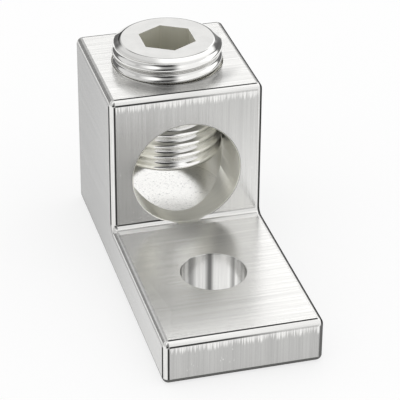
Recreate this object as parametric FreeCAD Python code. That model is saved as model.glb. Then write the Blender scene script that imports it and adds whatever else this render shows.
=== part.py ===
import FreeCAD, Part
import math
import os

# Mechanical cable lug with one clamping screw, in millimetres.
# A solid aluminium block carries a flat tongue with a stud hole. The conductor
# goes through the block along Y, and the screw comes down on it along Z.
# The origin is the centre of the stud hole on the base face. +Z is up, and +Y
# runs along the lug from the tongue towards the side where the conductor enters.

# Lug body
body_width = 24.0
body_length = 55.6
block_depth = 23.7
block_height = 29.3
tongue_thickness = 7.16
edge_radius = 0.95
step_radius = 0.8
rim_break = 0.2

# Stud hole in the tongue
stud_hole_diameter = 9.9
stud_hole_setback = 16.6

# Conductor bore through the block
conductor_bore_diameter = 16.9
conductor_axis_height = 15.42

# Clamping screw, as it stands in the lug at rest, a little behind mid-block.
# Its fine thread is left plain: the diameter is the one over the crests.
screw_diameter = 17.16
screw_length = 19.0
screw_projection = 3.7
screw_offset = 0.15
top_chamfer_width = 1.32
top_chamfer_angle = 30.0
end_chamfer_width = 0.4

# Hexagon socket in the top of the screw, with a drill point below it
socket_across_flats = 7.94
socket_depth = 9.5
drill_point_angle = 118.0

# Tapped hole in the block, plain like the screw and just clear of it
screw_clearance = 0.05
pocket_depth = 0.75

# Places that follow from the sizes above
tongue_end_y = -stud_hole_setback
rear_y = tongue_end_y + body_length
block_front_y = rear_y - block_depth
screw_y = (block_front_y + rear_y) / 2 + screw_offset
bore_radius = conductor_bore_diameter / 2
stud_hole_radius = stud_hole_diameter / 2
pocket_floor_z = conductor_axis_height - bore_radius - pocket_depth
screw_radius = screw_diameter / 2
screw_top_z = block_height + screw_projection
screw_end_z = screw_top_z - screw_length
tapped_hole_radius = screw_radius + screw_clearance
cut_margin = 1.0

X_AXIS = FreeCAD.Vector(1, 0, 0)
Y_AXIS = FreeCAD.Vector(0, 1, 0)
Z_AXIS = FreeCAD.Vector(0, 0, 1)
TOLERANCE = 1e-6


def vector(x, y, z):
    return FreeCAD.Vector(x, y, z)


def closed_wire(points):
    """Closed outline of straight lines through the points."""
    corners = [vector(*point) for point in points]
    return Part.makePolygon(corners + corners[:1])


def side_profile():
    """Outline of block and tongue seen from the side, with the rounded step."""
    step_y = block_front_y - step_radius
    step_z = tongue_thickness + step_radius
    fall = step_radius * (1 - math.sqrt(0.5))
    step_middle = vector(0, block_front_y - fall, tongue_thickness + fall)
    outline = [
        (0, step_y, tongue_thickness),
        (0, tongue_end_y, tongue_thickness),
        (0, tongue_end_y, 0),
        (0, rear_y, 0),
        (0, rear_y, block_height),
        (0, block_front_y, block_height),
        (0, block_front_y, step_z),
    ]
    corners = [vector(*point) for point in outline]
    lines = Part.makePolygon(corners).Edges
    step_arc = Part.Arc(corners[-1], step_middle, corners[0]).toShape()
    return Part.Face(Part.Wire(lines + [step_arc]))


def ends_step(edge):
    """True for the two straight edges where the step's round meets a flat."""
    middle = edge.CenterOfMass
    across = abs(abs(edge.tangentAt(edge.FirstParameter).x) - 1) < TOLERANCE
    low_end = abs(middle.y - (block_front_y - step_radius)) < TOLERANCE
    high_end = abs(middle.z - (tongue_thickness + step_radius)) < TOLERANCE
    return across and (low_end or high_end)


def rounded_blank():
    """Block and tongue in one piece, rounded along every outer edge."""
    blank = side_profile().extrude(X_AXIS * body_width)
    blank.translate(X_AXIS * (-body_width / 2))
    outer_edges = [edge for edge in blank.Edges if not ends_step(edge)]
    return blank.makeFillet(edge_radius, outer_edges)


def rim_cutter(radius, centre, outward):
    """Cone that breaks the sharp rim of a round hole where it meets a face."""
    inward = outward * -1
    start = centre + outward * rim_break
    return Part.makeCone(radius + 2 * rim_break, radius, 2 * rim_break, start, inward)


def conductor_bore():
    """Round bore along Y that stops as it clears the step's round."""
    start_y = block_front_y - step_radius
    start = vector(0, start_y, conductor_axis_height)
    length = rear_y + cut_margin - start_y
    bore = Part.makeCylinder(bore_radius, length, start, Y_AXIS)
    front = vector(0, block_front_y, conductor_axis_height)
    rear = vector(0, rear_y, conductor_axis_height)
    front_rim = rim_cutter(bore_radius, front, Y_AXIS * -1)
    rear_rim = rim_cutter(bore_radius, rear, Y_AXIS)
    return bore.fuse([front_rim, rear_rim])


def tapped_hole():
    """Hole for the screw, down into a shallow flat pocket in the bore's floor."""
    start = vector(0, screw_y, pocket_floor_z)
    depth = block_height + cut_margin - pocket_floor_z
    hole = Part.makeCylinder(tapped_hole_radius, depth, start, Z_AXIS)
    mouth = vector(0, screw_y, block_height)
    return hole.fuse(rim_cutter(tapped_hole_radius, mouth, Z_AXIS))


def stud_hole():
    """Plain hole through the tongue, with its upper rim broken."""
    start = vector(0, 0, -cut_margin)
    depth = tongue_thickness + 2 * cut_margin
    hole = Part.makeCylinder(stud_hole_radius, depth, start, Z_AXIS)
    mouth = vector(0, 0, tongue_thickness)
    return hole.fuse(rim_cutter(stud_hole_radius, mouth, Z_AXIS))


def lug_body():
    return rounded_blank().cut([conductor_bore(), tapped_hole(), stud_hole()])


def screw_blank():
    """Turned blank of the screw, chamfered at both ends."""
    chamfer_drop = top_chamfer_width * math.tan(math.radians(top_chamfer_angle))
    outline = [
        (0, 0, screw_end_z),
        (screw_radius - end_chamfer_width, 0, screw_end_z),
        (screw_radius, 0, screw_end_z + end_chamfer_width),
        (screw_radius, 0, screw_top_z - chamfer_drop),
        (screw_radius - top_chamfer_width, 0, screw_top_z),
        (0, 0, screw_top_z),
    ]
    return Part.Face(closed_wire(outline)).revolve(vector(0, 0, 0), Z_AXIS, 360)


def hexagon(across_flats, height):
    """Hexagon across the screw's axis, with two corners along Y."""
    corner_radius = across_flats / math.sqrt(3)
    corners = []
    for corner in range(6):
        angle = math.radians(30 + 60 * corner)
        x = corner_radius * math.cos(angle)
        y = corner_radius * math.sin(angle)
        corners.append((x, y, height))
    return closed_wire(corners)


def hexagon_socket():
    """Socket for a hexagon key, with a broken mouth and a drill point."""
    floor_z = screw_top_z - socket_depth
    mouth_across = socket_across_flats + 4 * rim_break
    mouth = hexagon(mouth_across, screw_top_z + rim_break)
    throat = hexagon(socket_across_flats, screw_top_z - rim_break)
    mouth_break = Part.makeLoft([mouth, throat], True, True)
    prism = Part.Face(hexagon(socket_across_flats, floor_z))
    prism = prism.extrude(Z_AXIS * (socket_depth + cut_margin))
    drill_radius = socket_across_flats / 2
    point_drop = drill_radius / math.tan(math.radians(drill_point_angle / 2))
    tip = vector(0, 0, floor_z - point_drop)
    drill_point = Part.makeCone(0, drill_radius, point_drop, tip, Z_AXIS)
    return prism.fuse([mouth_break, drill_point])


def clamp_screw():
    screw = screw_blank().cut(hexagon_socket())
    screw.translate(Y_AXIS * screw_y)
    return screw


def main():
    os.makedirs("parts", exist_ok=True)
    pieces = {"lug_body": lug_body(), "clamp_screw": clamp_screw()}
    for name, shape in pieces.items():
        solid = shape.Solids[0]
        solid.exportStep("parts/" + name + ".step")
        state = "valid" if solid.isValid() else "not valid"
        print(name, state, "solids", len(shape.Solids), "volume", round(solid.Volume, 2))


main()
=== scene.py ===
# %% [markdown]
# # An aluminium cable lug
# A mechanical cable lug clamps a bare conductor and bolts it to a busbar. It has two
# pieces: a tin-plated aluminium block with a flat tongue, and a big threaded clamping
# screw with a hexagon socket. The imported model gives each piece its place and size, in
# metres, with the origin at the middle of the stud hole and +Z up. This file gives both
# their looks: soft rounds, a real thread, brushed faces and bright plating.

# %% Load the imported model
import math
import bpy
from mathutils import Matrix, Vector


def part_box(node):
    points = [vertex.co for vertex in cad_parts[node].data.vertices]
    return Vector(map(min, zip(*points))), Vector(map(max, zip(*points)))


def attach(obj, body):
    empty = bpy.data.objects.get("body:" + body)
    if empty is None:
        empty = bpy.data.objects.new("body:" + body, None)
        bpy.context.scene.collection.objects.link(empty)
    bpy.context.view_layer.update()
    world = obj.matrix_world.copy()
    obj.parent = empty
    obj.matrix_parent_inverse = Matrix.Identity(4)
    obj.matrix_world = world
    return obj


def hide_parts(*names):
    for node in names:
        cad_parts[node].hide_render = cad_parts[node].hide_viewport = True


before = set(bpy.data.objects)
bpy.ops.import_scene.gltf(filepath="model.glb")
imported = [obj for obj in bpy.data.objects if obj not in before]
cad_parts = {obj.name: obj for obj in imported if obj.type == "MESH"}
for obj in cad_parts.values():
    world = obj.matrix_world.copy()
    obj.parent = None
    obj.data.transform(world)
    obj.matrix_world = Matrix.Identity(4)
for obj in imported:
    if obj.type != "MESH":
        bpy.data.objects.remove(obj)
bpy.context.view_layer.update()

from types import SimpleNamespace

import bmesh
import bpy
from mathutils import Matrix, Vector

MM = 0.001
scene = bpy.context.scene
print("nodes", sorted(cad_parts))

# %% [markdown]
# ## Sizes that both pieces share
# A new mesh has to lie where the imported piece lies, so the outer sizes are read from
# its box and only the finer ones, such as radii, are written here. Reading them keeps
# the two models the same when a size changes.

# %% Read the sizes of block, tongue and screw
body_low, body_high = (Vector(corner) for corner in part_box("lug_body"))
screw_low, screw_high = (Vector(corner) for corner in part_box("clamp_screw"))
tongue_top = 7.16 * MM
block_depth = 23.7 * MM
block_front = body_high.y - block_depth
bore_height = 15.42 * MM
bore_radius = 8.45 * MM
screw_radius = (screw_high.x - screw_low.x) / 2
screw_y = (screw_high.y + screw_low.y) / 2
edge_round = 0.95 * MM
step_round = 0.8 * MM
print("block", [round(v / MM, 2) for v in body_high - body_low])
print("screw radius", round(screw_radius / MM, 3))

# %% [markdown]
# ## Small helpers for closed shapes
# Every piece here starts as a bmesh and ends as an object at the origin. The first helper
# turns a bmesh into an object, and the second cuts one solid with another. A Boolean
# modifier could stay live, but then its cutter would have to stay in the scene too, so
# the result is read back as a plain mesh and the cutter is deleted.

# %% Turn a bmesh into an object, and cut solids
def finish_mesh(bm, name):
    """Merges doubles, points the faces outwards and makes an object."""
    bmesh.ops.remove_doubles(bm, verts=bm.verts, dist=1e-7)
    bmesh.ops.recalc_face_normals(bm, faces=bm.faces)
    mesh = bpy.data.meshes.new(name)
    bm.to_mesh(mesh)
    bm.free()
    piece = bpy.data.objects.new(name, mesh)
    scene.collection.objects.link(piece)
    return piece


def combine(piece, tool, operation):
    """Cuts a piece with a tool, or trims it to the tool, and deletes the tool."""
    cut = piece.modifiers.new("cut", "BOOLEAN")
    cut.operation = operation
    cut.solver = "MANIFOLD"
    cut.object = tool
    bpy.context.view_layer.update()
    seen = piece.evaluated_get(bpy.context.evaluated_depsgraph_get())
    result = bpy.data.meshes.new_from_object(seen)
    piece.modifiers.clear()
    piece.data = result
    bpy.data.objects.remove(tool)


# %% [markdown]
# ## A lathe
# Bores, holes, screws and drill points are all turned shapes. Ready-made cylinders and
# cones could be joined for them, but an outline that is spun about its axis gives every
# step and flare at once. Corners of the outline that are named get a bevel before the
# spin, which turns into a round all the way along the rim.

# %% Draw an outline and spin it
def wire(bm, outline, place, rounds=()):
    """Joins the outline's points with edges, and rounds the corners that are named."""
    points = [bm.verts.new(place(radius, along)) for radius, along in outline]
    for pair in zip(points, points[1:]):
        bm.edges.new(pair)
    for corner, offset, segments in rounds:
        bmesh.ops.bevel(bm, geom=[points[corner]], offset=offset, segments=segments,
                        profile=0.5, affect="VERTICES", material=-1)
    return bm.verts[:] + bm.edges[:]


def lathe(name, outline, centre, axis, steps, rounds=()):
    """A solid turned about an axis from an outline of radius and height along it."""
    across = Vector((1, 0, 0))
    bm = bmesh.new()
    line = wire(bm, outline, lambda radius, along: centre + across * radius + axis * along,
                rounds)
    bmesh.ops.spin(bm, geom=line, cent=centre, axis=axis,
                   angle=2 * math.pi, steps=steps, use_merge=True)
    return finish_mesh(bm, name)


# %% [markdown]
# ## The block and its tongue
# The real body is cut from one bar, with an L shape seen from the side, and every outer
# edge is rounded so that it can be handled. Joined boxes would leave a seam at the
# step, so the L is drawn once and extruded across the width. The hollow step is rounded
# first, with its own smaller radius, and then one bevel rounds all outer edges at once,
# which also makes the ball corners.

# %% Extrude the L and round its edges
bend = 1.0  # in radians: square edges turn by more than this, and rounded ones by less
round_segments = 8


def lug_blank():
    bm = bmesh.new()
    side = [(body_low.y, 0), (body_high.y, 0), (body_high.y, body_high.z),
            (block_front, body_high.z), (block_front, tongue_top), (body_low.y, tongue_top)]
    corners = [bm.verts.new((body_low.x, y, z)) for y, z in side]
    face = bm.faces.new(corners)
    grown = bmesh.ops.extrude_face_region(bm, geom=[face])["geom"]
    moved = [v for v in grown if isinstance(v, bmesh.types.BMVert)]
    bmesh.ops.translate(bm, verts=moved, vec=(body_high.x - body_low.x, 0, 0))
    bmesh.ops.recalc_face_normals(bm, faces=bm.faces)
    step = [e for e in bm.edges if not e.is_convex and e.calc_face_angle() > bend]
    bmesh.ops.bevel(bm, geom=step, offset=step_round, segments=round_segments,
                    profile=0.5, affect="EDGES", material=-1)
    outer = [e for e in bm.edges if e.is_convex and e.calc_face_angle() > bend]
    bmesh.ops.bevel(bm, geom=outer, offset=edge_round, segments=round_segments,
                    profile=0.5, affect="EDGES", material=-1)
    return finish_mesh(bm, "lug_shell")


lug = lug_blank()
print("rounded blank:", len(lug.data.polygons), "faces")

# %% [markdown]
# ## Bores and holes
# Three round tools cut the body: the conductor bore along Y, the tapped hole that ends
# in a shallow flat pocket, and the stud hole. Plain cylinders would leave razor-sharp
# rims, so each tool is a line turned on a lathe, and its line flares at the mouth. The
# cut then leaves a small broken rim that catches light, as a deburring tool does.

# %% Make the cutters
ALONG, UP = Vector((0, 1, 0)), Vector((0, 0, 1))
rim = 0.22 * MM
reach = 1.0 * MM
front_relief, front_flare = 0.05 * MM, 0.1 * MM
fine_steps = 192
flare_segments = 4
nearly_all = 0.99  # a bevel may take up nearly the whole flare, but not all of it


def bore_tool():
    """Flares at both mouths, and ends slimmer in front, where it clears the step's round."""
    far = block_depth
    wide = bore_radius + rim
    slim = bore_radius - front_relief
    line = [(0, -step_round), (slim, -step_round), (slim, -front_flare),
            (wide, 0), (bore_radius, 0),
            (bore_radius, far), (wide, far), (wide, far + reach), (0, far + reach)]
    flare = rim * nearly_all
    return lathe("bore_tool", line, Vector((0, block_front, bore_height)), ALONG, fine_steps,
                 [(4, flare, flare_segments), (5, flare, flare_segments)])


def hole_tool(name, radius, foot, mouth, flare, place, steps):
    """An upright cutter from foot to mouth, wider above the mouth by the flare."""
    wide = radius + flare
    line = [(0, foot), (radius, foot), (radius, mouth),
            (wide, mouth), (wide, mouth + reach), (0, mouth + reach)]
    return lathe(name, line, place, UP, steps, [(2, flare * nearly_all, flare_segments)])


# %% [markdown]
# The order of the cuts doesn't matter, but the tapped hole has to end exactly at the
# pocket's floor, and it is a little wider than the screw's crests, so that the screw can
# move in it without touching.

# %% Cut the body
pocket_floor = 6.22 * MM
screw_clearance = 0.05 * MM
hole_radius = screw_radius + screw_clearance
stud_radius = 4.95 * MM
tapped_flare, stud_flare = 0.08 * MM, 0.1 * MM
screw_middle = Vector((0, screw_y, 0))
stud_middle = Vector((0, 0, 0))
combine(lug, bore_tool(), "DIFFERENCE")
combine(lug, hole_tool("tapped_hole", hole_radius, pocket_floor, body_high.z,
                       tapped_flare, screw_middle, fine_steps), "DIFFERENCE")
combine(lug, hole_tool("stud_hole", stud_radius, -reach, tongue_top,
                       stud_flare, stud_middle, 128), "DIFFERENCE")
print("lug with its holes:", len(lug.data.polygons), "faces")

# %% [markdown]
# ## The thread of the clamping screw
# The screw is turned with a fine right-hand thread, 1.87 mm a turn. A texture or a bump
# would stay flat at the screw's outline, so the thread is real. Blender's spin takes a
# shift along the axis at each step, so one tooth's outline, spun with a shift of one
# pitch a turn, sweeps a true helix, and each turn's foot meets the next one's.

# %% Spin one tooth's outline into a threaded rod
pitch = 1.87 * MM
tooth_depth = 0.55 * MM
tooth_foot = screw_radius - tooth_depth
crest_width = 0.45 * MM
flank_angle = 40
crest_round, root_round = 0.21 * MM, 0.24 * MM
first_crest = screw_high.z - 0.98 * MM
turns = 12
steps_a_turn = 96
weld = 0.002 * MM  # each turn's foot lies on the next one's within this


def threaded_rod():
    """A helix of rounded teeth, closed at both ends and longer than the screw."""
    bm = bmesh.new()
    start = first_crest - (turns - 1) * pitch
    crest = crest_width / 2
    flank = tooth_depth * math.tan(math.radians(flank_angle))
    outline = [(tooth_foot, -pitch / 2), (tooth_foot, -crest - flank),
               (screw_radius, -crest), (screw_radius, crest),
               (tooth_foot, crest + flank), (tooth_foot, pitch / 2)]
    line = wire(bm, outline, lambda radius, up: Vector((radius, screw_y, start + up)),
                [(1, root_round, 6), (2, crest_round, 6),
                 (3, crest_round, 6), (4, root_round, 6)])
    bmesh.ops.spin(bm, geom=line, cent=(0, screw_y, 0), axis=UP,
                   dvec=(0, 0, pitch / steps_a_turn), angle=turns * 2 * math.pi,
                   steps=turns * steps_a_turn)
    bmesh.ops.remove_doubles(bm, verts=bm.verts, dist=weld)
    open_edges = [e for e in bm.edges if e.is_boundary]
    caps = bmesh.ops.holes_fill(bm, edges=open_edges, sides=0)["faces"]
    bmesh.ops.poke(bm, faces=caps)
    return finish_mesh(bm, "screw_shell")


screw = threaded_rod()
print("threaded rod:", len(screw.data.polygons), "faces",
      [round(v / MM, 2) for v in screw.dimensions])

# %% [markdown]
# A real screw is chamfered on the same lathe, which cuts through the first and the last
# turn of its thread. Here the rod is longer than the screw, and what it shares with a
# turned outline is kept. Along the thread the outline is wider than the crests, so only
# the ends are cut.

# %% Trim the rod to the screw's turned outline
top_chamfer, end_chamfer = 1.32 * MM, 0.4 * MM
top_chamfer_angle = 30
top_break, end_break = 0.16 * MM, 0.1 * MM
spare = 0.6 * MM


def trim_tool():
    """The screw's turned outline, a little larger than its crests along the thread."""
    slope = math.tan(math.radians(top_chamfer_angle))
    wide = screw_radius + spare
    top_edge = screw_radius - top_chamfer
    line = [(0, screw_low.z), (screw_radius - end_chamfer, screw_low.z),
            (wide, screw_low.z + end_chamfer + spare),
            (wide, screw_high.z - (wide - top_edge) * slope),
            (top_edge, screw_high.z), (0, screw_high.z)]
    return lathe("trim_tool", line, screw_middle, UP, fine_steps,
                 [(1, end_break, 2), (4, top_break, 4)])


combine(screw, trim_tool(), "INTERSECT")
print("trimmed screw:", len(screw.data.polygons), "faces")

# %% [markdown]
# ## The hexagon socket
# A hexagon key turns the screw. The socket is a straight six-sided hole with a shallow
# cone at its foot, left by the drill that opened it. A cylinder with six sides and a
# cone with many make its tools.

# %% Cut the socket
across_flats = 7.94 * MM
socket_corner = across_flats / math.sqrt(3)
socket_depth = 9.5 * MM
socket_floor = screw_high.z - socket_depth
drill_point_angle = 118
snug, overlap = 0.01 * MM, 0.2 * MM


def socket_tool():
    """A hexagonal prism from above the screw's top down to the socket's floor."""
    bm = bmesh.new()
    high = screw_high.z + reach
    middle = Matrix.Translation((0, screw_y, (high + socket_floor) / 2))
    bmesh.ops.create_cone(bm, cap_ends=True, segments=6, radius1=socket_corner,
                          radius2=socket_corner, depth=high - socket_floor, matrix=middle)
    return finish_mesh(bm, "socket_tool")


def point_tool():
    """The drill's point, a cone that just fits inside the hexagon."""
    radius = across_flats / 2 - snug
    drop = radius / math.tan(math.radians(drill_point_angle / 2))
    top = socket_floor + overlap
    line = [(0, socket_floor - drop), (radius, socket_floor), (radius, top), (0, top)]
    return lathe("point_tool", line, screw_middle, UP, 96)


combine(screw, socket_tool(), "DIFFERENCE")
combine(screw, point_tool(), "DIFFERENCE")
print("screw with its socket:", len(screw.data.polygons), "faces")

# %% [markdown]
# ## Smooth shading that keeps flats flat
# The rounds need smooth shading, and the flat faces have to mirror the room without a
# bend. Edges over 38 degrees are marked sharp, and a Weighted Normal modifier lets each
# flat face decide the normals along its border.

# %% Shade both pieces
sharp_angle = 38
for piece in (lug, screw):
    piece.data.shade_smooth()
    piece.data.set_sharp_from_angle(angle=math.radians(sharp_angle))
    weighted = piece.modifiers.new("flat_faces", "WEIGHTED_NORMAL")
    weighted.keep_sharp = True
    print(piece.name, "is smooth up to", sharp_angle, "degrees")

# %% [markdown]
# ## Helpers for the finishes
# Each finish is a small tree of nodes that reads Object coordinates, so its grain keeps
# its size in millimetres and turns with the piece. Four helpers keep the trees short:
# one adds a node, one does arithmetic, one turns a range into a soft mask from 0 to 1,
# and one blends two values by a mask.

# %% Helpers that add nodes
def add(tree, kind, inputs=(), **settings):
    """A node with its settings, and with each input set to a value or linked to one."""
    node = tree.nodes.new("ShaderNode" + kind)
    for name, value in settings.items():
        setattr(node, name, value)
    for key, value in dict(inputs).items():
        if isinstance(value, bpy.types.NodeSocket):
            tree.links.new(value, node.inputs[key])
        else:
            node.inputs[key].default_value = value
    return node


def calc(tree, operation, *values):
    return add(tree, "Math", enumerate(values), operation=operation).outputs[0]


def mask(tree, value, low, high):
    """0 where the value is at low and 1 at high, which may be the smaller of the two."""
    steps = {"Value": value, "From Min": low, "From Max": high}
    return add(tree, "MapRange", steps, interpolation_type="SMOOTHSTEP").outputs[0]


def blend(tree, share, first, second):
    return add(tree, "Mix", {0: share, 2: first, 3: second}, data_type="FLOAT").outputs[0]


# %% [markdown]
# Brushed and turned metal shows fine streaks. An image of a brushed plate would blur up
# close, so the streaks are noise, squeezed across the brush and stretched along it. The
# other helpers here read where a surface lies and which way it faces, start a metal
# finish, and scale a colour.

# %% Helpers for grain and colour
def grain(tree, scale, detail=2.0):
    """Noise from 0 to 1, with its scale along each axis in cycles a metre."""
    where = add(tree, "TexCoord").outputs["Object"]
    stretched = add(tree, "Mapping", {"Vector": where, "Scale": scale}).outputs[0]
    noise = add(tree, "TexNoise", {"Vector": stretched, "Scale": 1.0, "Detail": detail})
    return mask(tree, noise.outputs["Fac"], 0.3, 0.7)


def axes(tree, output):
    """The three parts of an Object place, or of the surface's own direction."""
    source = add(tree, "TexCoord").outputs[output]
    return add(tree, "SeparateXYZ", {0: source}).outputs


def new_finish(name):
    material = bpy.data.materials.new(name)
    material.use_nodes = True
    tree = material.node_tree
    shader = tree.nodes["Principled BSDF"]
    shader.inputs["Metallic"].default_value = 1.0
    return material, tree, shader


def tint(tree, tone, colour):
    """A colour scaled by a tone."""
    parts = [calc(tree, "MULTIPLY", tone, part) for part in colour]
    return add(tree, "CombineColor", enumerate(parts)).outputs[0]


# %% [markdown]
# Masks from 0 to 1 can be combined like conditions: their product is 1 only where all of
# them are, and two of them with opposite slopes make a band.

# %% Helpers that combine masks
def every(tree, first, *others):
    """All of the masks at once."""
    for other in others:
        first = calc(tree, "MULTIPLY", first, other)
    return first


def band(tree, value, start, full, last, end):
    """1 from full to last, with soft borders out to start and to end."""
    return every(tree, mask(tree, value, start, full), mask(tree, value, end, last))


def length(tree, x, y):
    """Distance from the Z axis of a place given by x and y."""
    place = add(tree, "CombineXYZ", {0: x, 1: y}).outputs[0]
    return add(tree, "VectorMath", {0: place}, operation="LENGTH").outputs["Value"]


# %% [markdown]
# ## Brushed tin plate
# The lug is plated with bright tin over brushed aluminium. Its top faces are brushed
# across the width and its end faces up and down, and the two long sides are smoother.
# Three materials could do that, but then each round would need a border between two of
# them. One material is enough if it asks which way the surface faces and where it lies,
# so the first step makes one mask for each kind of face. A direction's part along an
# axis is 1 where the surface faces straight along it, and less where it leans.

# %% Tell the plate's faces apart
leaning, facing = 0.95, 0.995
tongue_below, block_above = 9 * MM, 10 * MM
step_end = block_front - step_round


def plate_faces(tree):
    """The plate's places and directions, and a mask for each kind of face."""
    face = SimpleNamespace()
    face.x, face.y, face.z = axes(tree, "Object")
    face.to_right, face.to_back, face.to_top = parts = axes(tree, "Normal")
    side, end, top = (calc(tree, "ABSOLUTE", part) for part in parts)
    face.flat = calc(tree, "MAXIMUM", calc(tree, "MAXIMUM", side, end), top)
    face.is_end = mask(tree, end, leaning, facing)
    face.is_side = mask(tree, side, leaning, facing)
    face.is_round = mask(tree, face.flat, 0.995, 0.98)
    face.on_tongue = every(tree, mask(tree, face.z, block_above, tongue_below),
                           mask(tree, top, leaning, facing))
    # a painted reflection: a bright strip at the foot of the step, on both sides of the bore
    face.strip = every(tree, face.on_tongue,
                       band(tree, face.y, step_end - 0.95 * MM, step_end - 0.75 * MM,
                            block_front, block_front + 1 * MM),
                       mask(tree, calc(tree, "ABSOLUTE", face.x), 1.5 * MM, 4.5 * MM))
    # the floor of the pocket under the screw
    face.pocket = every(tree, face.on_tongue, mask(tree, face.z, 5 * MM, 5.5 * MM),
                        mask(tree, face.y, block_front, block_front + 1 * MM))
    return face


# %% [markdown]
# ## Tones of the faces
# Polished metal has hardly a colour of its own, and what looks like colour is the room in it.
# So every kind of face gets its own base tone, painted a little brighter or duller by the way
# it faces and where it lies, as a painted reflection of the room, and the brush's streaks vary
# it. The pocket's floor is painted the brightest, a painted reflection, with fine specks. The
# block's top is painted duller in a ring in front of the screw, a painted reflection of the
# screw's thread.

# %% Tone of the top faces
# painted reflections: the block's top, the tongue's top and the bright strip each get their own
# tone
block_top_tone, tongue_tone, strip_reflection_tone = 0.74, 0.825, 1.0
# painted reflection: the pocket's floor is painted the brightest
pocket_tone, speck_depth = 0.97, -0.25
ring_outer, ring_inner, ring_share = 12.5 * MM, 9.5 * MM, 0.52


def top_tones(tree, face, across):
    plain = blend(tree, face.on_tongue, block_top_tone, tongue_tone)
    tone = calc(tree, "MULTIPLY_ADD", across, 0.13, plain)
    tone = blend(tree, face.strip, tone, strip_reflection_tone)
    specks = mask(tree, grain(tree, (2600, 2600, 2600)), 0.15, 0.0)
    speckled = calc(tree, "MULTIPLY_ADD", specks, speck_depth, pocket_tone)
    tone = blend(tree, face.pocket, tone, speckled)
    # painted reflection: a duller ring on the block's top in front of the screw
    around = length(tree, face.x, calc(tree, "SUBTRACT", face.y, screw_y))
    ring = every(tree, mask(tree, around, ring_outer, ring_inner),
                 mask(tree, face.y, screw_y - 4 * MM, screw_y - 8 * MM),
                 mask(tree, face.z, tongue_below, block_above))
    return calc(tree, "MULTIPLY", tone, blend(tree, ring, 1.0, ring_share))


# %% [markdown]
# The end faces are painted duller on the left than on the right, and the more so towards the
# foot, as a painted reflection. A row of painted highlights runs under their upper edge, made
# ragged by the streak noise, and a few tiny nicks, which are real wear, are painted bright as
# glints.

# %% Tone of the end faces
# painted reflection: tones of the left, right and tongue ends, and their change towards the
# foot
left_tone, right_tone, tongue_end_tone = 0.475, 0.53, 0.47
left_change, right_change = -0.11, 0.23
# painted highlight: the row under the upper edge of the end faces
highlight_row_tone = 0.92


# a painted highlight row under the upper edge, together with real nicks painted bright
def highlight_row_and_nicks(tree, face, on_block):
    streak_noise = grain(tree, (7000, 200, 60))
    upper_edge = blend(tree, on_block, tongue_top, body_high.z)
    drop = calc(tree, "SUBTRACT", upper_edge, face.z)
    ragged = calc(tree, "MULTIPLY_ADD", streak_noise, -1.0 * MM, drop)
    row = every(tree, mask(tree, ragged, 1.5 * MM, 0.7 * MM),
                calc(tree, "MULTIPLY_ADD", streak_noise, 0.6, 0.4))
    nicks = every(tree, mask(tree, grain(tree, (3600, 3600, 2600)), 0.99, 1.0),
                  mask(tree, grain(tree, (260, 260, 260)), 0.72, 0.9))
    return calc(tree, "MAXIMUM", row, nicks)


def end_tones(tree, face, upright):
    low = mask(tree, face.z, 29 * MM, 9 * MM)
    left = calc(tree, "MULTIPLY_ADD", low, left_change, left_tone)
    right = calc(tree, "MULTIPLY_ADD", low, right_change, right_tone)
    tone = blend(tree, mask(tree, face.x, -11 * MM, 11 * MM), left, right)
    on_block = mask(tree, face.y, 0.0, 1 * MM)
    tone = blend(tree, on_block, tongue_end_tone, tone)
    tone = calc(tree, "MULTIPLY_ADD", upright, 0.07, tone)
    tone = calc(tree, "MULTIPLY_ADD", grain(tree, (900, 60, 12)), 0.03, tone)
    return blend(tree, highlight_row_and_nicks(tree, face, on_block), tone, highlight_row_tone)


# %% [markdown]
# The long sides are drawn smooth along the bar, so they have no streaks up and down, only a
# faint and broad grain. They are painted brighter from the block to the tongue's end, a painted
# reflection.

# %% Tone of the long sides
# painted reflection: the sides are darker at the block and brighter at the tongue's end
rear_tone, front_gain = 0.23, 0.35


def side_tones(tree, face):
    forward = mask(tree, face.y, 39 * MM, -17 * MM)
    tone = calc(tree, "MULTIPLY_ADD", forward, front_gain, rear_tone)
    return calc(tree, "MULTIPLY_ADD", grain(tree, (200, 40, 1500), 3.0), 0.035, tone)


# %% [markdown]
# ## Lines along the rounds
# Fine black lines run along the borders of the rounds, where the brushed face turns into the
# polished round. They are painted shade, standing in for the dark reflections there. They are
# too thin for geometry and too crisp for the studio's reflection, so they are masks on the
# surface's direction: a border is where no part of it is quite 1 any more. The lines are
# fainter along the upper left edge, at the right of the front edges and under the step. The
# right rounds have a broader painted dark band, and the left front corner a painted black
# notch.

# %% Mask of the dark lines
def thin_lines(tree, face):
    """A painted dark line along each round, at the border of the flat face beside it."""
    inner_end = blend(tree, mask(tree, face.to_right, -0.7, -0.85), 0.94, 0.895)
    line = every(tree, mask(tree, face.flat, 0.9998, 0.998),
                 mask(tree, calc(tree, "SUBTRACT", face.flat, inner_end), -0.015, 0.015),
                 mask(tree, face.to_right, 0.1, 0.03))
    upper_left = every(tree, mask(tree, face.to_right, -0.02, -0.08),
                       mask(tree, face.to_top, 0.02, 0.08))
    front_right = every(tree, mask(tree, face.x, -4 * MM, 8 * MM),
                        mask(tree, face.to_back, -0.8, -0.9))
    step_foot = every(tree, mask(tree, face.z, 8.2 * MM, 8.0 * MM),
                      mask(tree, face.to_top, 0.8, 0.9),
                      mask(tree, face.y, block_front - 1.2 * MM, block_front - 0.9 * MM))
    for place, rest in ((upper_left, 0.4), (front_right, 0.3), (step_foot, 0.35)):
        line = calc(tree, "MULTIPLY", line, blend(tree, place, 1.0, rest))
    return line


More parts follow.
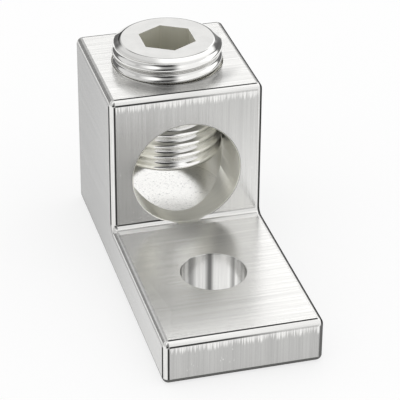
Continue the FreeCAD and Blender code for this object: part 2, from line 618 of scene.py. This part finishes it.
def painted_dark_lines(tree, face):
    """Painted shade: the thin lines, the band along the right rounds and the left front corner.
    """
    right_band = band(tree, face.to_right, 0.36, 0.5, 0.86, 0.94)
    corner = every(tree, mask(tree, face.to_back, -0.78, -0.86),
                   mask(tree, face.to_right, -0.12, -0.2), mask(tree, face.to_top, 0.1, 0.18))
    both = calc(tree, "MAXIMUM", thin_lines(tree, face), right_band)
    return calc(tree, "MAXIMUM", both, corner)


# %% [markdown]
# The rounds along the foot are painted a matt dark grey, a painted shade for the shadowed floor
# close under them that they mirror, and so is the tongue's right front corner, low down.

# %% Mask of the dull foot
# painted shade along the foot and at the tongue's right front corner
def painted_foot_shade(tree, face):
    foot = band(tree, face.to_top, -0.01, -0.08, -0.99, -0.999)
    corner = every(tree, mask(tree, face.z, 6.6 * MM, 6.1 * MM),
                   mask(tree, face.y, 0, -5 * MM),
                   band(tree, face.to_right, 0.1, 0.3, 0.86, 0.94))
    return calc(tree, "MAXIMUM", foot, corner)


# %% [markdown]
# Now the masks come together. Where a painted line or the painted foot shade is, the plate is
# no longer a mirror but dark and matt, so the mask takes away Metallic and the specular level
# as well as the tone. The streaks also go into a faint bump, which smears reflections across
# the brush.

# %% Make the brushed plate
TIN = (1.0, 0.995, 0.975)
# painted shade: the tones of the dark lines and of the foot
painted_line_tone, foot_shade_tone = 0.04, 0.14


def plate_roughness(tree, face):
    rough = blend(tree, face.on_tongue, 0.22, blend(tree, face.strip, 0.25, 0.08))
    drawn = calc(tree, "MAXIMUM", face.is_end, face.is_side)
    return blend(tree, face.is_round, blend(tree, drawn, rough, 0.17), 0.1)


def brushed_plate():
    material, tree, shader = new_finish("brushed_plate")
    face = plate_faces(tree)
    across = grain(tree, (50, 4800, 200), 3.0)
    upright = grain(tree, (6500, 200, 60), 3.0)
    tone = blend(tree, face.is_end, top_tones(tree, face, across),
                 end_tones(tree, face, upright))
    tone = blend(tree, face.is_side, tone, side_tones(tree, face))
    line, foot_shade = painted_dark_lines(tree, face), painted_foot_shade(tree, face)
    tone = blend(tree, foot_shade, blend(tree, line, tone, painted_line_tone), foot_shade_tone)
    tree.links.new(tint(tree, tone, TIN), shader.inputs["Base Color"])
    dark = calc(tree, "MAXIMUM", line, foot_shade)
    metallic = blend(tree, face.strip, 0.8, 0.2)
    tree.links.new(blend(tree, dark, metallic, 0.0), shader.inputs["Metallic"])
    tree.links.new(blend(tree, dark, 0.5, 0.0), shader.inputs["Specular IOR Level"])
    tree.links.new(plate_roughness(tree, face), shader.inputs["Roughness"])
    smooth = calc(tree, "MAXIMUM", face.is_side, face.is_round)
    height = calc(tree, "MULTIPLY", blend(tree, face.is_end, across, upright),
                  calc(tree, "SUBTRACT", 1.0, smooth))
    bump = add(tree, "Bump", {"Height": height, "Strength": 0.25, "Distance": 0.01 * MM})
    tree.links.new(bump.outputs[0], shader.inputs["Normal"])
    return material


plate_finish = brushed_plate()
print("brushed plate:", len(plate_finish.node_tree.nodes), "nodes")

# %% [markdown]
# ## Bored walls
# The boring tool leaves fine rings along the conductor bore. The walls light each other, so the
# plating inside is painted softer and a little yellower than outside, and darker low down, as
# painted shade. The bore's ceiling gets little light, so it is painted dark, and the thread
# below it mirrors that.

# %% Make the finish of bored walls
SHADED_TIN = (1.0, 0.99, 0.91)
# painted shade: the lower wall, the upper wall and the ceiling of the bore
low_wall_tone, high_wall_tone, ceiling_tone = 0.8, 0.96, 0.28


def bored_wall():
    material, tree, shader = new_finish("bored_wall")
    rings = grain(tree, (300, 2500, 300))
    high = mask(tree, axes(tree, "Object")[2], 8 * MM, 15 * MM)
    wall = blend(tree, high, low_wall_tone, high_wall_tone)
    tone = calc(tree, "MULTIPLY_ADD", rings, 0.04, wall)
    ceiling = mask(tree, axes(tree, "Normal")[2], -0.6, -0.9)
    tone = blend(tree, ceiling, tone, ceiling_tone)
    tree.links.new(tint(tree, tone, SHADED_TIN), shader.inputs["Base Color"])
    shader.inputs["Metallic"].default_value = 0.7
    shader.inputs["Roughness"].default_value = 0.3
    return material


bore_finish = bored_wall()
print("bored wall:", len(bore_finish.node_tree.nodes), "nodes")

# %% [markdown]
# ## The stud hole
# The reamed stud hole is bright, with soft upright painted reflections, light and dark, round
# its wall. A mask for each would make a long tree, so a colour ramp, read by the angle round
# the hole, puts each one where the real hole has it.

# %% Make the finish of the stud hole
def fill_ramp(ramp, stops, full):
    """Grey stops by their place on a scale that ends at full."""
    elements = ramp.color_ramp.elements
    while len(elements) < len(stops):
        elements.new(0.5)
    for element, (place, level) in zip(elements, stops):
        element.position = place / full
        element.color = (level, level, level, 1)


# painted reflections round the stud hole: the angle in degrees and the grey there
stud_reflections = [
    (0, 0.6), (24, 0.8), (31, 1.0), (36, 0.4), (40, 0.6), (45, 1.0), (73, 0.9), (79, 0.2),
    (83, 0.25), (90, 0.85), (105, 0.88), (113, 0.5), (120, 0.3), (130, 0.75), (150, 0.75),
    (175, 0.5), (200, 0.95), (235, 0.5), (270, 0.9), (300, 0.4), (330, 0.9), (359, 0.6)]


def reamed_hole():
    material, tree, shader = new_finish("reamed_hole")
    x, y = axes(tree, "Object")[:2]
    turn = calc(tree, "DIVIDE", calc(tree, "ARCTAN2", y, x), 2 * math.pi)
    ramp = add(tree, "ValToRGB", {"Fac": calc(tree, "FRACT", calc(tree, "ADD", turn, 1.0))})
    fill_ramp(ramp, stud_reflections, 360)
    fine = calc(tree, "MULTIPLY_ADD", grain(tree, (2200, 2200, 60)), 0.12, 0.88)
    tone = calc(tree, "MULTIPLY", ramp.outputs["Color"], fine)
    tree.links.new(tint(tree, tone, TIN), shader.inputs["Base Color"])
    shader.inputs["Roughness"].default_value = 0.2
    return material


stud_finish = reamed_hole()
print("reamed hole:", len(stud_finish.node_tree.nodes), "nodes")

# %% [markdown]
# ## The turned screw
# The screw is the brightest and smoothest surface. Its flat top is a little duller, the roots
# of the thread are painted darker as painted shade, and the turned edge of the top is painted
# dark at the back, a painted reflection. The thread is also painted duller where it is buried
# in the block, as painted shade. The roots are found by their distance from the screw's axis.

# %% Make the finish of the turned screw
# painted shade for the roots and the buried thread, painted reflection for the back edge
crest_tone, root_tone, flat_tone, back_edge_tone = 0.96, 0.76, 0.58, 0.2
buried_tone = 0.88


def thread_tones(tree, out, buried):
    """Painted shade: darker roots, and a duller thread where it is buried in the block."""
    root = band(tree, out, tooth_foot - 0.3 * MM, tooth_foot - 0.1 * MM,
                tooth_foot + 0.05 * MM, tooth_foot + 0.2 * MM)
    return blend(tree, root, blend(tree, buried, buried_tone, crest_tone), root_tone)


def turned_screw():
    material, tree, shader = new_finish("turned_screw")
    to_back, to_top = axes(tree, "Normal")[1:3]
    x, y, z = axes(tree, "Object")
    out = length(tree, x, calc(tree, "SUBTRACT", y, screw_y))
    buried = mask(tree, z, body_high.z - 4 * MM, body_high.z - 6 * MM)
    level = mask(tree, calc(tree, "ABSOLUTE", to_top), 0.97, 0.995)
    plain = blend(tree, level, thread_tones(tree, out, buried), flat_tone)
    marks = grain(tree, (400, 400, 9000))
    tone = calc(tree, "MULTIPLY_ADD", marks, 0.04, plain)
    # painted reflection: the turned edge of the top is dark at the back
    back_edge = every(tree, mask(tree, to_top, 0.992, 0.98), mask(tree, to_back, -0.05, 0.1),
                      mask(tree, z, screw_high.z - 0.2 * MM, screw_high.z - 0.15 * MM))
    tone = blend(tree, back_edge, tone, back_edge_tone)
    tree.links.new(tint(tree, tone, TIN), shader.inputs["Base Color"])
    tree.links.new(blend(tree, buried, 1.0, 0.97), shader.inputs["Metallic"])
    shader.inputs["Roughness"].default_value = 0.08
    return material


screw_finish = turned_screw()
print("turned screw:", len(screw_finish.node_tree.nodes), "nodes")

# %% [markdown]
# ## The broached socket
# A broach has pushed the socket's walls into shape and dragged fine lines down them. The socket
# scatters the light of its own walls, so it is rougher than the rest, and it is painted
# yellower and darker, as painted shade.

# %% Make the finish of the broached socket
SOCKET_TIN = (1.0, 0.985, 0.87)
# painted shade: the socket is darker and yellower than the screw outside
socket_tone = 0.68


def broached_socket():
    material, tree, shader = new_finish("broached_socket")
    drag = grain(tree, (2500, 2500, 120))
    tone = calc(tree, "MULTIPLY_ADD", drag, 0.02, socket_tone)
    tree.links.new(tint(tree, tone, SOCKET_TIN), shader.inputs["Base Color"])
    shader.inputs["Metallic"].default_value = 0.5
    shader.inputs["Roughness"].default_value = 0.4
    return material


socket_finish = broached_socket()
print("broached socket:", len(socket_finish.node_tree.nodes), "nodes")

# %% [markdown]
# ## Which faces take which finish
# Each object has a list of material slots, and each face keeps the number of its slot.
# The order of the list gives the numbers, so each number gets a name here.

# %% Give each object its finishes
PLATE, BORED, REAMED = 0, 1, 2
TURNED, BROACHED = 0, 1


def paint(piece, *finishes):
    piece.data.materials.clear()
    for finish in finishes:
        piece.data.materials.append(finish)
    print(piece.name, "has the finishes", [finish.name for finish in finishes])


paint(lug, plate_finish, bore_finish, stud_finish)
paint(screw, screw_finish, socket_finish)

# %% [markdown]
# The Boolean cuts leave no names behind, so the bored faces are found by where they
# lie: close to the axis of a hole, and not facing along it.

# %% Find the bored and broached faces
bore_middle = Vector((0, 0, bore_height))
along_axis = 0.9  # a wall of a hole faces less along its axis than this


def from_axis(face, place, axis):
    off = face.center - place
    return (off - axis * off.dot(axis)).length


def lines_hole(face, radius, place, axis):
    """True for a face of the wall of a round hole, with its flared rim."""
    near = from_axis(face, place, axis) < radius + rim
    return near and abs(face.normal.dot(axis)) < along_axis


for face in lug.data.polygons:
    face.material_index = PLATE
    behind_step = face.center.y > step_end - rim
    in_bore = behind_step and lines_hole(face, bore_radius, bore_middle, ALONG)
    if in_bore or lines_hole(face, hole_radius, screw_middle, UP):
        face.material_index = BORED
    elif lines_hole(face, stud_radius, stud_middle, UP):
        face.material_index = REAMED
for face in screw.data.polygons:
    inside = from_axis(face, screw_middle, UP) < socket_corner * 1.01
    in_reach = socket_floor - 3 * MM < face.center.z < screw_high.z - 0.01 * MM
    face.material_index = BROACHED if inside and in_reach else TURNED
print("bored faces", sum(face.material_index == BORED for face in lug.data.polygons))
print("socket faces", sum(face.material_index == BROACHED for face in screw.data.polygons))

# %% [markdown]
# ## Seat the pieces
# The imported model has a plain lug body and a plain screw, which stay for collisions. Each
# new piece stands for one of them, rides on the same body and keeps its material slot,
# so the screw moves up and down with its joint.

# %% Seat both pieces on their bodies
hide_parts("lug_body")
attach(lug, "lug")
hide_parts("clamp_screw")
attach(screw, "screw")
print("seated", lug.name, "and", screw.name)

# %% [markdown]
# ## Floor
# The lug stands on a pale floor that shows a soft shadow and melts into a white
# background. A plain white floor would look grey, because it gets less light than it
# sends back, so part of it glows, but only for the camera and for mirrors. A Light Path
# node tells which kind of ray is asking, and the light on the lug stays as it is.

# %% Lay the floor
floor_radius = 4.0
floor_gap = 0.02 * MM
glow_seen, glow_mirrored = 0.72, 0.8


def lay_floor():
    bm = bmesh.new()
    bmesh.ops.create_circle(bm, cap_ends=True, segments=64, radius=floor_radius)
    floor = finish_mesh(bm, "floor")
    floor.data.transform(Matrix.Translation((0, 0, -floor_gap)))
    material = bpy.data.materials.new("pale_floor")
    material.use_nodes = True
    tree = material.node_tree
    tree.nodes.clear()
    chalk = add(tree, "BsdfDiffuse", {"Color": (0.97, 0.97, 0.97, 1)})
    white = add(tree, "Emission", {"Strength": 1.0})
    path = add(tree, "LightPath").outputs
    seen = calc(tree, "MAXIMUM", path["Is Camera Ray"], path["Is Transmission Ray"])
    seen = calc(tree, "MULTIPLY", seen, glow_seen)
    share = blend(tree, path["Is Glossy Ray"], seen, glow_mirrored)
    mixed = add(tree, "MixShader", {0: share, 1: chalk.outputs[0], 2: white.outputs[0]})
    add(tree, "OutputMaterial", {"Surface": mixed.outputs[0]})
    floor.data.materials.append(material)
    print("floor:", floor_radius * 2, "metres across")


lay_floor()

# %% [markdown]
# ## Studio light
# Polished metal shows its room, so the studio matters as much as the finish. Lamps with
# visible shapes could stand round the lug, but a world drawn with masks is lighter and
# free of noise. The room is described by the arc from the front horizon over the top to
# the back: a dark gap low in front, white panels beside and above it, and a thin dark gap
# behind the top panel. Only mirrors see these shapes, and all other rays see plain white.

# %% Levels along the arc
studio_front = Vector((-0.268, -0.963, 0)).normalized()
studio_right = Vector((0.963, -0.268, 0)).normalized()
half_turn = 180
brightest = 2.0  # a ramp holds up to 1, so its levels are shares of this
arc_levels = [
    (0, 0.04), (44, 0.04), (55, 0.12), (64, 0.3), (74, 0.5), (84, 1.1), (90, 1.2),
    (139, 1.25), (145, 1.4), (152, 1.3), (158, 1.25), (163, 0.25)]
print("arc levels from", arc_levels[0], "to", arc_levels[-1])

# %% [markdown]
# A world's Generated output is the direction that a ray looks in. Its part along the
# studio's front and its height give the angle along the arc, and its part along the
# studio's right tells how far to the side it looks. Each panel and gap is then a mask on
# these two.

# %% World of soft white panels
def along(tree, where, way):
    """How far a direction points along a way, from -1 to 1."""
    return add(tree, "VectorMath", {0: where, 1: way}, operation="DOT_PRODUCT").outputs["Value"]


def room_level(tree, arc, aside):
    """Brightness of the room by the place on the arc and how far it lies aside."""
    def over(low, high):
        return mask(tree, arc, low / half_turn, high / half_turn)

    sideways = calc(tree, "ABSOLUTE", aside)
    # the dark gap in front narrows to both sides
    lift = calc(tree, "MULTIPLY", mask(tree, sideways, 0.05, 0.5), over(110, 90))
    place = calc(tree, "MULTIPLY_ADD", lift, 35 / half_turn, arc)
    ramp = add(tree, "ValToRGB", {"Fac": place})
    shares = [(degrees, level / brightest) for degrees, level in arc_levels]
    fill_ramp(ramp, shares, half_turn)
    level = calc(tree, "MULTIPLY", ramp.outputs["Color"], brightest)
    # a white panel stands at the gap's right and a grey one at its left
    panel = blend(tree, mask(tree, aside, -0.1, 0.1), 0.62, 1.0)
    beside = calc(tree, "MAXIMUM", mask(tree, aside, -0.36, -0.7), mask(tree, aside, 0.1, 0.48))
    level = blend(tree, calc(tree, "MULTIPLY", beside, over(95, 85)), level, panel)
    # overhead the light is softer on the left than on the right
    soft_left = calc(tree, "MULTIPLY", mask(tree, aside, -0.05, -0.25), over(80, 90))
    level = calc(tree, "MULTIPLY", level, blend(tree, soft_left, 1.0, 0.6))
    # a dark gap between the panel overhead and the one behind, and dark corners beside it
    gap = every(tree, over(125, 129), over(141, 137), mask(tree, sideways, 0.45, 0.3))
    corners = calc(tree, "MULTIPLY", mask(tree, sideways, 0.3, 0.5), over(138, 153))
    return blend(tree, calc(tree, "MAXIMUM", gap, corners), level, 0.15)


def studio():
    world = bpy.data.worlds.new("studio")
    scene.world = world
    world.use_nodes = True
    tree = world.node_tree
    tree.nodes.clear()
    where = add(tree, "TexCoord").outputs["Generated"]
    height = add(tree, "SeparateXYZ", {0: where}).outputs["Z"]
    front = along(tree, where, studio_front)
    aside = along(tree, where, studio_right)
    # angle from the front horizon, over the top, to the back horizon
    arc = calc(tree, "DIVIDE", calc(tree, "ARCTAN2", height, front), math.pi)
    mirrored = add(tree, "LightPath").outputs["Is Glossy Ray"]
    level = blend(tree, mirrored, 1.0, room_level(tree, arc, aside))
    glow = add(tree, "Background", {"Strength": level, "Color": (1, 1, 1, 1)})
    add(tree, "OutputWorld", {"Surface": glow.outputs[0]})
    print("studio:", len(tree.nodes), "nodes")


studio()

# %% [markdown]
# ## Camera
# The camera was matched to the photograph by its edges: the three angles, the place and
# a long lens bring the model's corners onto the picture's. A camera looks along its own
# -Z, so the columns of its matrix are right, up and backwards.

# %% Camera
yaw, pitch_down, roll = 0.2715, 0.5341, -0.007  # in radians
camera_place = (-0.06812, -0.23693, 0.16533)
lens = 176.49  # in millimetres, as Blender's lenses are


def set_camera():
    level_part = math.cos(pitch_down)
    forward = Vector((math.sin(yaw) * level_part, math.cos(yaw) * level_part,
                      -math.sin(pitch_down)))
    right = Vector((math.cos(yaw), -math.sin(yaw), 0))
    down = forward.cross(right)
    right_rolled = right * math.cos(roll) + down * math.sin(roll)
    down_rolled = down * math.cos(roll) - right * math.sin(roll)
    data = bpy.data.cameras.new("camera")
    data.sensor_width = 36
    data.lens = lens
    data.clip_start = 0.01
    data.clip_end = 20
    camera = bpy.data.objects.new("camera", data)
    scene.collection.objects.link(camera)
    columns = (right_rolled, -down_rolled, -forward)
    turn = Matrix([[column[row] for column in columns] for row in range(3)]).to_4x4()
    camera.matrix_world = Matrix.Translation(camera_place) @ turn
    scene.camera = camera
    print("camera at", camera_place, "with a lens of", lens, "mm")


set_camera()
scene.view_settings.view_transform = "Standard"

# %% [markdown]
# ## Bring the scene up to date
# The new pieces have to fill the same box as the imported ones. The last call brings the view
# layer up to date.

# %% Bring the scene up to date
bpy.context.view_layer.update()
